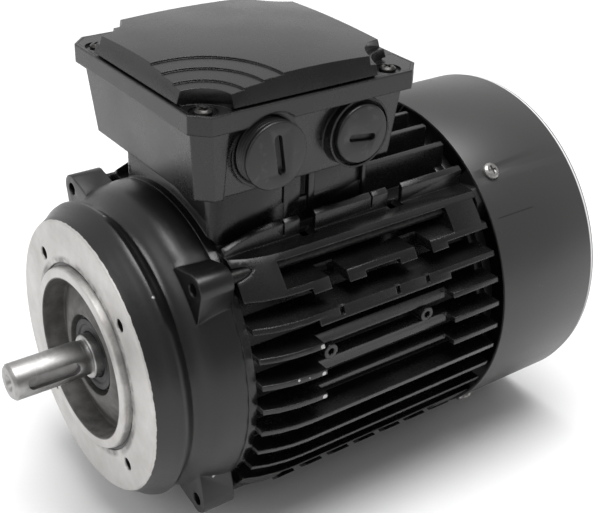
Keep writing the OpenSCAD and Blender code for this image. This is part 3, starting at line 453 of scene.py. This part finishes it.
MATERIALS = {
    "frame_paint": cast_paint("frame_paint", 0.0055, 0.27, 1.0, 0.6, 0.6, FRAME_CHIPS),
    "shield_paint": shield_paint(),
    "rear_paint": cast_paint("rear_shield_paint", 0.005, 0.38, 1.0, 0.8, 0.2),
    "box_paint": cast_paint("box_paint", 0.005, 0.30, 0.28, 1.0, 0.1),
    "lid_paint": cast_paint("lid_paint", 0.0045, 0.27, 0.18, 0.4, 0.0),
    "cowl_paint": sheet_paint(),
    "turned_steel": turned_steel("turned_shaft_steel", 0.36, 0.36, 0.25, 0.45),
    "race_steel": turned_steel("ground_race_steel", 0.75, 0.14, 0.12, 0.1),
    "ball_steel": plated("polished_ball_steel", grey(0.75), grey(0.82), 0.08, 0.1, 0.05),
    "black_oxide": plated("black_oxide_steel", grey(0.02), grey(0.035), 0.45, 0.2, 0.3),
    "bright_zinc": plated("bright_zinc", grey(0.30, 0.02), grey(0.52, 0.02), 0.30, 0.2, 0.95),
    "dull_zinc": plated("dull_zinc", grey(0.16, 0.02), grey(0.3, 0.02), 0.38, 0.2, 0.6),
    "dark_zinc": plated("blackened_zinc", grey(0.02, 0.02), grey(0.07, 0.02), 0.34, 0.2, 0.6),
    "spring_steel": plated("phosphated_spring_steel", grey(0.16), grey(0.24), 0.42, 0.15, 0.3),
    "cage_aluminium": plated("cast_aluminium", grey(0.62), grey(0.74), 0.42, 0.3, 0.15),
    "brass": plated("bright_brass", (0.78, 0.56, 0.22, 1), (0.86, 0.66, 0.3, 1), 0.26, 0.15, 0.12),
    "cage_brass": plated("pressed_brass", (0.66, 0.46, 0.18, 1), (0.76, 0.56, 0.26, 1), 0.3, 0.15, 0.1),
    "lamination": laminated("electrical_steel", 0.3),
    "copper": copper_wire(),
    "seal_rubber": moulded("seal_rubber", grey(0.005), grey(0.008), 0.5, 0.25, 0.4, 0.35),
    "gasket_rubber": moulded("gasket_rubber", grey(0.004), grey(0.006), 0.8, 0.3, 0.1, 0.2),
    "plug_plastic": moulded("plug_plastic", grey(0.006), grey(0.009), 0.36, 0.18, 0.35, 0.5),
    "fan_plastic": moulded("fan_plastic", grey(0.014), grey(0.02), 0.42, 0.25, 0.4),
    "board_plastic": moulded("board_phenolic", (0.16, 0.05, 0.02, 1), (0.22, 0.07, 0.03, 1),
                             0.4, 0.2, 0.3),
    "lead_insulation": moulded("lead_insulation", (0.42, 0.03, 0.02, 1), (0.5, 0.05, 0.03, 1),
                               0.45, 0.2, 0.2),
}

# node: (material, geometric bevel in mm, segments); 0 leaves the edges as they are
FINISH = {
    "drive_end_shield": ("shield_paint", 0.5, 3),
    "stator_frame": ("frame_paint", 0.45, 2),
    "rear_end_shield": ("rear_paint", 0.5, 2),
    "fan_cowl": ("cowl_paint", 0.25, 2),
    "cowl_screws": ("bright_zinc", 0.2, 2),
    "tie_bolts": ("black_oxide", 0.25, 2),
    "shaft_seal": ("seal_rubber", 0.25, 2),
    "rear_seal": ("seal_rubber", 0.15, 2),
    "preload_washer": ("spring_steel", 0.1, 2),
    "front_bearing_outer_race": ("race_steel", 0.4, 3),
    "front_bearing_inner_race": ("race_steel", 0.4, 3),
    "front_bearing_balls": ("ball_steel", 0, 0),
    "front_bearing_cage": ("cage_brass", 0.15, 2),
    "rear_bearing_outer_race": ("race_steel", 0.4, 3),
    "rear_bearing_inner_race": ("race_steel", 0.4, 3),
    "rear_bearing_balls": ("ball_steel", 0, 0),
    "rear_bearing_cage": ("cage_brass", 0.15, 2),
    "rotor_shaft": ("turned_steel", 0.15, 2),
    "rotor_core": ("lamination", 0.1, 1),
    "rotor_cage": ("cage_aluminium", 0.3, 2),
    "fan_key": ("dull_zinc", 0.15, 2),
    "cooling_fan": ("fan_plastic", 0.3, 2),
    "fan_circlip": ("spring_steel", 0.1, 2),
    "stator_core": ("lamination", 0.1, 1),
    "stator_windings": ("copper", 0.5, 3),
    "terminal_box_base": ("box_paint", 0, 0),
    "box_base_screws": ("dull_zinc", 0.15, 2),
    "terminal_box_gasket": ("gasket_rubber", 0.1, 1),
    "terminal_box_lid": ("lid_paint", 0, 0),
    "lid_screws": ("dark_zinc", 0.2, 2),
    "front_blanking_plug": ("plug_plastic", 0.2, 2),
    "rear_blanking_plug": ("plug_plastic", 0.2, 2),
    "rear_plug_washer": ("gasket_rubber", 0.1, 2),
    "terminal_board": ("board_plastic", 0.4, 2),
    "terminal_studs": ("brass", 0.2, 2),
    "terminal_nuts": ("brass", 0.2, 2),
    "link_bars": ("brass", 0.15, 2),
    "earth_screw": ("brass", 0.15, 2),
    "winding_leads": ("lead_insulation", 0.1, 1),
    "lead_grommet": ("seal_rubber", 0.3, 2),
}


def shade_by_angle(limit):
    """Node group that keeps edges sharper than the limit sharp and smooths the rest."""
    group = bpy.data.node_groups.new("shade_by_angle", "GeometryNodeTree")
    group.interface.new_socket("Geometry", in_out="INPUT", socket_type="NodeSocketGeometry")
    group.interface.new_socket("Geometry", in_out="OUTPUT", socket_type="NodeSocketGeometry")
    add = group.nodes.new
    link = group.links.new
    first = add("NodeGroupInput")
    last = add("NodeGroupOutput")
    faces = add("GeometryNodeSetShadeSmooth")
    edges = add("GeometryNodeSetShadeSmooth")
    edges.domain = "EDGE"
    angle = add("GeometryNodeInputMeshEdgeAngle")
    test = add("FunctionNodeCompare")
    test.data_type = "FLOAT"
    test.operation = "GREATER_THAN"
    test.inputs[1].default_value = math.radians(limit)
    link(angle.outputs["Unsigned Angle"], test.inputs[0])
    link(test.outputs[0], edges.inputs["Selection"])
    edges.inputs["Shade Smooth"].default_value = False
    link(first.outputs[0], faces.inputs["Geometry"])
    link(faces.outputs[0], edges.inputs["Geometry"])
    link(edges.outputs[0], last.inputs[0])
    return group


SHADING = shade_by_angle(SHARP_ANGLE)


def finish_node(name):
    key, width, segments = FINISH[name]
    obj = NODES[name]
    mesh = obj.data
    mesh.materials.clear()
    mesh.materials.append(MATERIALS[key])
    if "custom_normal" in mesh.attributes:
        mesh.attributes.remove(mesh.attributes["custom_normal"])
    weld = obj.modifiers.new("weld", "WELD")
    weld.merge_threshold = WELD_GAP
    if width:
        merge = obj.modifiers.new("merge", "DECIMATE")
        merge.decimate_type = "DISSOLVE"
        merge.angle_limit = math.radians(FLAT_ANGLE)
        bevel = obj.modifiers.new("bevel", "BEVEL")
        bevel.width = width * MM
        bevel.segments = segments
        bevel.limit_method = "ANGLE"
        bevel.angle_limit = math.radians(SHARP_ANGLE)
        bevel.use_clamp_overlap = True
        bevel.miter_outer = "MITER_ARC"
    shade = obj.modifiers.new("shade", "NODES")
    shade.node_group = SHADING


for node_name in sorted(NODES):
    finish_node(node_name)


# ---- floor, light and camera ---------------------------------------------------

def add_floor():
    low = Vector(cad_box[0])
    high = Vector(cad_box[1])
    mesh = bpy.data.meshes.new("floor")
    middle = (low + high) / 2
    corners = [(middle.x + a * FLOOR_HALF, middle.y + b * FLOOR_HALF, low.z - FLOOR_GAP)
               for a, b in ((-1, -1), (1, -1), (1, 1), (-1, 1))]
    mesh.from_pydata(corners, [], [(0, 1, 2, 3)])
    obj = bpy.data.objects.new("floor", mesh)
    bpy.context.collection.objects.link(obj)
    material, g = new_material("floor_paper")
    tone = g.mix(g.noise(14.0, 3.0), grey(0.86), grey(0.89))
    g.finish(tone, 0.9, 0.0, g.bump(g.noise(500.0, 4.0), 0.1, 0.1 * MM), 0.1)
    mesh.materials.append(material)


def add_area(name, place, target, size, power):
    light = bpy.data.lights.new(name, "AREA")
    light.energy = power
    light.size = size
    obj = bpy.data.objects.new(name, light)
    bpy.context.collection.objects.link(obj)
    obj.location = place
    obj.rotation_euler = (Vector(target) - Vector(place)).to_track_quat("-Z", "Y").to_euler()


def add_world():
    world = bpy.data.worlds.new("studio")
    world.use_nodes = True
    tree = world.node_tree
    background = tree.nodes["Background"]
    background.inputs["Color"].default_value = (1.0, 1.0, 1.0, 1)
    # brighter on the -X side than on the camera's, and towards the horizon than overhead
    coords = tree.nodes.new("ShaderNodeTexCoord")
    split = tree.nodes.new("ShaderNodeSeparateXYZ")
    fade = tree.nodes.new("ShaderNodeMapRange")
    for i, value in enumerate(WORLD_BY_HEIGHT):
        fade.inputs[i + 1].default_value = value
    side = tree.nodes.new("ShaderNodeMapRange")
    for i, value in enumerate(WORLD_BY_SIDE):
        side.inputs[i + 1].default_value = value
    both = tree.nodes.new("ShaderNodeMath")
    both.operation = "MULTIPLY"
    tree.links.new(coords.outputs["Generated"], split.inputs[0])
    tree.links.new(split.outputs["Z"], fade.inputs[0])
    tree.links.new(split.outputs["X"], side.inputs[0])
    tree.links.new(fade.outputs[0], both.inputs[0])
    tree.links.new(side.outputs[0], both.inputs[1])
    tree.links.new(both.outputs[0], background.inputs["Strength"])
    bpy.context.scene.world = world


def add_camera():
    cam = bpy.data.cameras.new("camera")
    cam.lens = CAMERA_LENS
    cam.sensor_width = CAMERA_SENSOR
    cam.clip_start = CAMERA_CLIP_START
    obj = bpy.data.objects.new("camera", cam)
    bpy.context.collection.objects.link(obj)
    turn = Matrix.Rotation(math.radians(CAMERA_AZIMUTH), 4, "Z")
    tilt = Matrix.Rotation(math.radians(90 - CAMERA_ELEVATION), 4, "X")
    roll = Matrix.Rotation(math.radians(CAMERA_ROLL), 4, "Z")
    obj.matrix_world = Matrix.Translation(CAMERA_PLACE) @ turn @ tilt @ roll
    bpy.context.scene.camera = obj


add_floor()
add_world()
add_area("overhead", *OVERHEAD_LAMP)
add_area("left", *LEFT_LAMP)
add_camera()
bpy.context.scene.view_settings.view_transform = "Standard"
